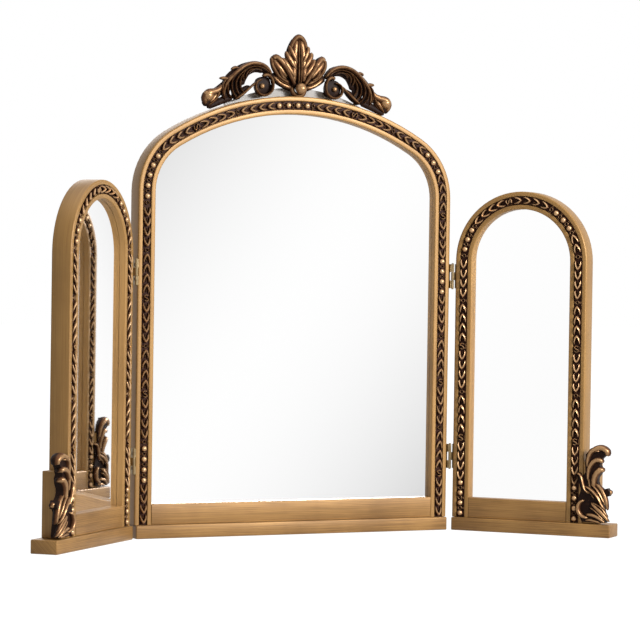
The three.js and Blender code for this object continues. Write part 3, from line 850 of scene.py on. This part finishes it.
# scroll: outer arch, second arch, and a fan of curved ribs down to the curl
sprig(bm, [(46, 700, 3, 2.4, 5), (53, 709, 5, 3, 6), (63, 714.6, 6.5, 3.2, 7), (75, 716.4, 7, 3.2, 7),
           (86, 714.3, 7, 3.2, 7), (96, 709, 6.5, 3.2, 7), (105, 702, 6, 3.2, 6.5),
           (113, 694, 5, 3, 6), (120, 685, 4, 2.8, 5.5), (124.5, 674, 3, 2.6, 5),
           (124, 660, 2, 2.4, 4)], True)
sprig(bm, [(50, 701.5, 5, 1.1, 3), (58, 708.3, 6, 1.2, 4), (68, 711.3, 6.5, 1.2, 4.5),
           (79, 711, 6.5, 1.2, 4.5), (90, 706.5, 6, 1.2, 4.5), (99, 698.5, 5.5, 1.2, 4),
           (106, 688, 5, 1.1, 3.6)], True)
for ribs in (
    [(121, 691), (126.8, 683), (127.5, 671), (122, 659)],
    [(112.5, 698), (118, 690), (119.6, 680), (117.5, 669), (111.5, 661.5)],
    [(105.5, 700), (111, 691.5), (113, 681), (110.2, 670), (103, 662.5)],
    [(97.5, 701.5), (104, 692), (106.3, 682), (103.4, 672), (96.5, 665.5)],
    [(91, 703), (97, 694), (99.4, 685), (96.8, 676), (91, 670)],
):
    bowed = [(x, z, 3.5 + 3 * sin(pi * i / (len(ribs) - 1)), 1.25, 3.6) for i, (x, z) in enumerate(ribs)]
    sprig(bm, bowed, True, 6)
for ribs in (
    [(61, 705.5), (70, 708), (79, 706), (84.5, 699.5)],
    [(72, 708), (82, 706.5), (88.5, 700), (88.5, 692)],
    [(80, 711), (89.5, 706), (94, 698), (92, 688.5)],
):
    bowed = [(x, z, 4 + 2.5 * sin(pi * i / 3), 1.2, 3.2) for i, (x, z) in enumerate(ribs)]
    sprig(bm, bowed, True, 6)
sprig(bm, [(72, 688, 5, 1.6, 3.4), (84, 677.5, 6, 2.1, 3.8), (96, 667.5, 6, 2.1, 3.8),
           (106, 660.5, 4, 1.6, 3)], True)
sprig(bm, [(98, 706, 3, 2.4, 4), (106, 708.5, 3.5, 2.8, 4), (112.5, 705.5, 2.5, 1.6, 3)], True)
sprig(bm, [(115, 690, 2.5, 3, 4), (124, 691.5, 3, 3.2, 4), (131.5, 691.5, 2, 1.4, 2.6)], True)
# round curl at the end
sprig(bm, [(127, 682, 2, 2.4, 4), (132, 675, 3, 4, 5), (141, 671, 4, 5, 6), (150, 668, 4, 6.5, 8),
           (155.5, 661, 3, 5.5, 7), (153.5, 650.5, 0.5, 3, 4)], True, 12)
knob(bm, 150.5, 664.5, 4, 8.8, True)
sprig(bm, [(131, 672, 2, 2, 4), (135, 664, 3, 2.4, 5), (141, 657, 3, 2.2, 4.5),
           (149, 650, 1.5, 1.6, 3.5)], True)
sprig(bm, [(133, 668, 1, 4, 3.5), (140, 661, 1.5, 6, 4), (147, 654, 1, 4, 3.5)], True)
finished("carved_crest", bm, cast_gold_and_shade, "centre", ["crest"], stood_up(FACE_Y), 50)

# ---------------------------------------------------------------- corner castings
# A leafy resin scroll at each outer corner: it covers the foot of the stile and the block, and climbs
# in three hooked lobes. Laid out from the stile's edge and the top of the plinth.
FRONT_Y = -0.0153
GROUND_PROUD = 0.0006
GROUND_THINNED = 0.3
HOLLOW_WORN = 0.12


def flat_ground(bm, name, place):
    """The casting's solid ground: the plain casting's outline, laid flat and thinned in front."""
    node = frame["nodes"][name]
    ground = bmesh.new()
    ground.from_mesh(node.data)
    bmesh.ops.transform(ground, matrix=place.inverted() @ node.matrix_world, verts=ground.verts)
    bmesh.ops.remove_doubles(ground, verts=ground.verts, dist=1e-6)
    bmesh.ops.dissolve_limit(ground, angle_limit=radians(2), verts=ground.verts, edges=ground.edges)
    front = FRONT_Y - GROUND_PROUD
    for vert in ground.verts:
        if vert.co.y < front:
            vert.co.y = front + (vert.co.y - front) * GROUND_THINNED
    laid_flat = Matrix(((1, 0, 0, 0), (0, 0, 1, 0), (0, -1, 0, FRONT_Y), (0, 0, 0, 1)))
    bmesh.ops.transform(ground, matrix=laid_flat, verts=ground.verts)
    made = bpy.data.meshes.new(name + " ground")
    ground.to_mesh(made)
    ground.free()
    bm.from_mesh(made)
    bpy.data.meshes.remove(made)
    wear_and_shade = bm.verts.layers.float["wear_and_shade"]
    for vert in bm.verts:
        vert[wear_and_shade] = HOLLOW_WORN


for side, name in ((-1, "left_wing"), (1, "right_wing")):
    bm = bmesh.new()
    bm.verts.layers.float.new("wear_and_shade")
    flat_ground(bm, name + "_corner_ornament", WING_PLACES[side])
    outwards = side * 1000 * WING["half"]

    def leafage(points, sides=8):
        """A stroke set out from the stile's edge and the top of the plinth."""
        placed = [(outwards + side * x, z + 1000 * PLINTH_TOP, *rest) for x, z, *rest in points]
        sprig(bm, placed, False, sides, 1.0)

    # three hooked lobes on a stem
    leafage([(8, 86, 0, 2.6, 6), (8.5, 98, 1, 3.2, 7), (12, 108.5, 1.5, 4, 8), (20, 115.5, 1, 4.6, 9),
             (30, 117.5, -1, 5, 9), (38.5, 112, -2, 5, 8), (38, 105, -2, 3.6, 6)], 12)
    leafage([(9.5, 66, 1, 2.4, 6), (9.6, 79, 2, 3, 6.5), (13, 90, 3, 3.6, 7), (20.5, 98, 2.5, 4.2, 7),
             (28, 98.5, 1, 4.4, 7), (31.5, 94.5, 0, 3.4, 5.5)], 12)
    leafage([(19, 56, 1, 3.6, 5.5), (18.6, 67, 2, 4.6, 6.5), (22, 77, 3, 5, 7), (28.5, 84, 2, 5, 7),
             (34, 82, 0, 4.2, 6)], 12)
    leafage([(6, 92, 1, 1.2, 4), (10.5, 104, 3, 1.3, 5), (18.5, 111.5, 4, 1.4, 5), (28, 112.5, 3, 1.3, 4)])
    leafage([(13.5, 50, 0, 3, 5), (11, 62, 0, 3.4, 5), (9, 76, 0, 3, 5), (8, 90, -1, 2.6, 5)])
    # thin inner curl, and the C scroll below it
    leafage([(-9, 77, 3, 1.5, 3.2), (-4.5, 76.2, 4.5, 1.9, 3.8), (-0.5, 71, 5, 2.2, 4),
             (1.6, 62, 5, 2.3, 4), (5, 52.5, 4.5, 2.2, 3.8), (12, 47, 4, 1.6, 3)])
    leafage([(4, 36.5, 3, 1.6, 4), (-2.2, 33.5, 4.5, 2.6, 5), (-5.6, 26.5, 5, 3.4, 5.5),
             (-4.6, 18, 5, 3.6, 5.5), (1.5, 11.8, 4.5, 3, 5), (11, 9.2, 3.5, 2, 4)], 10)
    # sweeping ridges over the dark hollow, then the lower leaf and its edge
    leafage([(3, 58, 3, 1.4, 3), (11, 55.5, 5, 2.2, 4), (19.5, 49.5, 6.5, 2.6, 4.5),
             (27.5, 40.5, 6.5, 2.6, 4.5), (32, 30.5, 5, 2.2, 4), (38, 22.5, 2, 1.4, 3)])
    leafage([(14, 62, 3, 1.2, 3), (20.5, 57, 4.5, 1.7, 3.6), (27.5, 49, 4.5, 1.8, 3.6),
             (33, 39.5, 4, 1.7, 3.4), (37.5, 29, 2, 1.4, 3)])
    leafage([(20, 63, 0, 2, 4.5), (28, 56.5, 0, 3.4, 5), (34.5, 46, 0, 3.8, 5.5), (38.5, 34, 0, 3.4, 5),
             (40, 22, -1, 2, 4)], 10)
    leafage([(8, 52, 4.5, 1, 2.4), (14.5, 47, 5, 1.1, 2.6), (20, 39.5, 5, 1, 2.4)])
    leafage([(33, 48, 1, 2.4, 3), (38, 49, -1, 2.6, 3), (42.5, 49, -4, 4.8, 4.8),
             (45.5, 47.5, -5, 3, 3)], 12)
    leafage([(14.5, 33.5, 3.5, 1.4, 3), (21, 28, 5, 3, 4), (30, 20, 5, 3.6, 4.4), (38, 11.5, 3.5, 2.8, 4),
             (43.5, 4.5, 1, 1.4, 3)], 10)
    leafage([(16, 33.5, 5, 1, 2.6), (27, 29.5, 6, 1.3, 3.4), (36, 21.5, 4.5, 1.3, 3.2),
             (42, 11.5, 2.5, 1.1, 3)])
    leafage([(13, 26, 4.5, 1, 2.6), (22, 21, 6.5, 1.2, 3.2), (30.5, 13, 5.5, 1.2, 3),
             (37.5, 5.5, 2.5, 1, 2.4)])
    leafage([(6, 14.5, 3.5, 1.6, 3.4), (15, 14.5, 5, 2.8, 4), (24.5, 12, 5, 3, 4), (33, 6, 3, 2.2, 3.4),
             (37.5, 3, 1, 1.2, 2.6)], 10)
    leafage([(5, 5.5, 2, 2, 3.4), (14, 6.5, 3, 2.6, 3.8), (23, 4.5, 2.5, 2.4, 3.6), (30, 3, 1, 1.4, 2.6)])
    finished(
        name + "_corner_casting",
        bm,
        cast_gold_and_shade,
        name,
        [name + "_corner_ornament"],
        WING_PLACES[side] @ stood_up(FRONT_Y),
        50,
    )

# ---------------------------------------------------------------- board behind the crest
# Plain grey-primed board, cut to follow the arch. It is fixed behind the head of the centre frame and
# carries the crest.
def mottled(name, size, detail, tone_a, tone_b):
    """A material of two tones in an uneven mottle, and the mottle itself."""
    made, tree, shader = new_material(name)
    place = add_node(tree, "TexCoord").outputs["Object"]
    mottle = add_node(tree, "TexNoise", {"Vector": place, "Scale": size, "Detail": detail}).outputs["Fac"]
    tone = add_node(
        tree, "Mix", {"Factor": mottle, "A": (*tone_a, 1), "B": (*tone_b, 1)}, data_type="RGBA"
    )
    wire(tree, shader, {"Base Color": tone.outputs["Result"]})
    return made, tree, shader, mottle


primed, tree, shader, _ = mottled("grey primed board", 120, 4, (0.3, 0.285, 0.27), (0.46, 0.45, 0.43))
wire(tree, shader, {"Roughness": 0.7})
frame["nodes"]["crest_board"].material_slots[0].material = primed

# ---------------------------------------------------------------- mirror glass
# Clear 3 mm glass, silvered behind, resting in the rebates. Painted shade in the reflection greys it a
# little towards two corners, most in the centre panel.
MIRROR_HALF = 0.245
MIRROR_MIDDLE_Z = 0.35
MIRROR_RISE = 0.3
for name, corner_shade_grey in (("centre_mirror", 0.68), ("left_wing_mirror", 0.97), ("right_wing_mirror", 0.97)):
    silvered, tree, shader = new_material("silvered glass, " + name)
    place = add_node(tree, "TexCoord").outputs["Object"]
    slope = (0.5 / MIRROR_HALF, 0, -0.5 / MIRROR_RISE)
    diagonal = add_node(tree, "VectorMath", {0: place, 1: slope}, operation="DOT_PRODUCT")
    offset = 0.5 * MIRROR_MIDDLE_Z / MIRROR_RISE
    across = add_node(tree, "Math", {0: diagonal.outputs["Value"], 1: offset}, operation="ADD").outputs[0]
    far = add_node(tree, "Math", {0: across, 1: across}, operation="MULTIPLY")
    # painted shade in the reflection: greyer towards two corners
    tone = add_node(
        tree,
        "Mix",
        {"Factor": far.outputs[0], "A": (0.995, 0.995, 0.995, 1), "B": (corner_shade_grey, corner_shade_grey, corner_shade_grey, 1)},
        data_type="RGBA",
    )
    wire(tree, shader, {"Base Color": tone.outputs["Result"], "Metallic": 1, "Roughness": 0.015})
    frame["nodes"][name].material_slots[0].material = silvered

# ---------------------------------------------------------------- backing boards
# Dark stained fibreboard, cut to each opening and pressed into the rebate behind the glass, which it
# holds in place.
board, tree, shader, fibres = mottled("dark fibreboard", 320, 5, (0.05, 0.033, 0.022), (0.12, 0.082, 0.055))
bump = add_node(tree, "Bump", {"Strength": 0.3, "Distance": 0.0004, "Height": fibres})
wire(tree, shader, {"Roughness": 0.8, "Normal": bump.outputs["Normal"]})
for name in ("centre_back_board", "left_wing_back_board", "right_wing_back_board"):
    frame["nodes"][name].material_slots[0].material = board

# ---------------------------------------------------------------- hinges
# Small butt hinges of dulled brass, two to each wing: folded leaves on a pin, each leaf held by two
# round-headed screws.
brass, tree, shader, tarnish = mottled("dulled brass", 140, 4, (0.1, 0.066, 0.032), (0.34, 0.25, 0.13))
rough = add_node(tree, "MapRange", {"Value": tarnish, "To Min": 0.28, "To Max": 0.5})
wire(tree, shader, {"Roughness": rough.outputs["Result"], "Metallic": 0.9})
for name, node in frame["nodes"].items():
    if "_hinge_" in name or name.endswith("_pin"):
        node.material_slots[0].material = brass
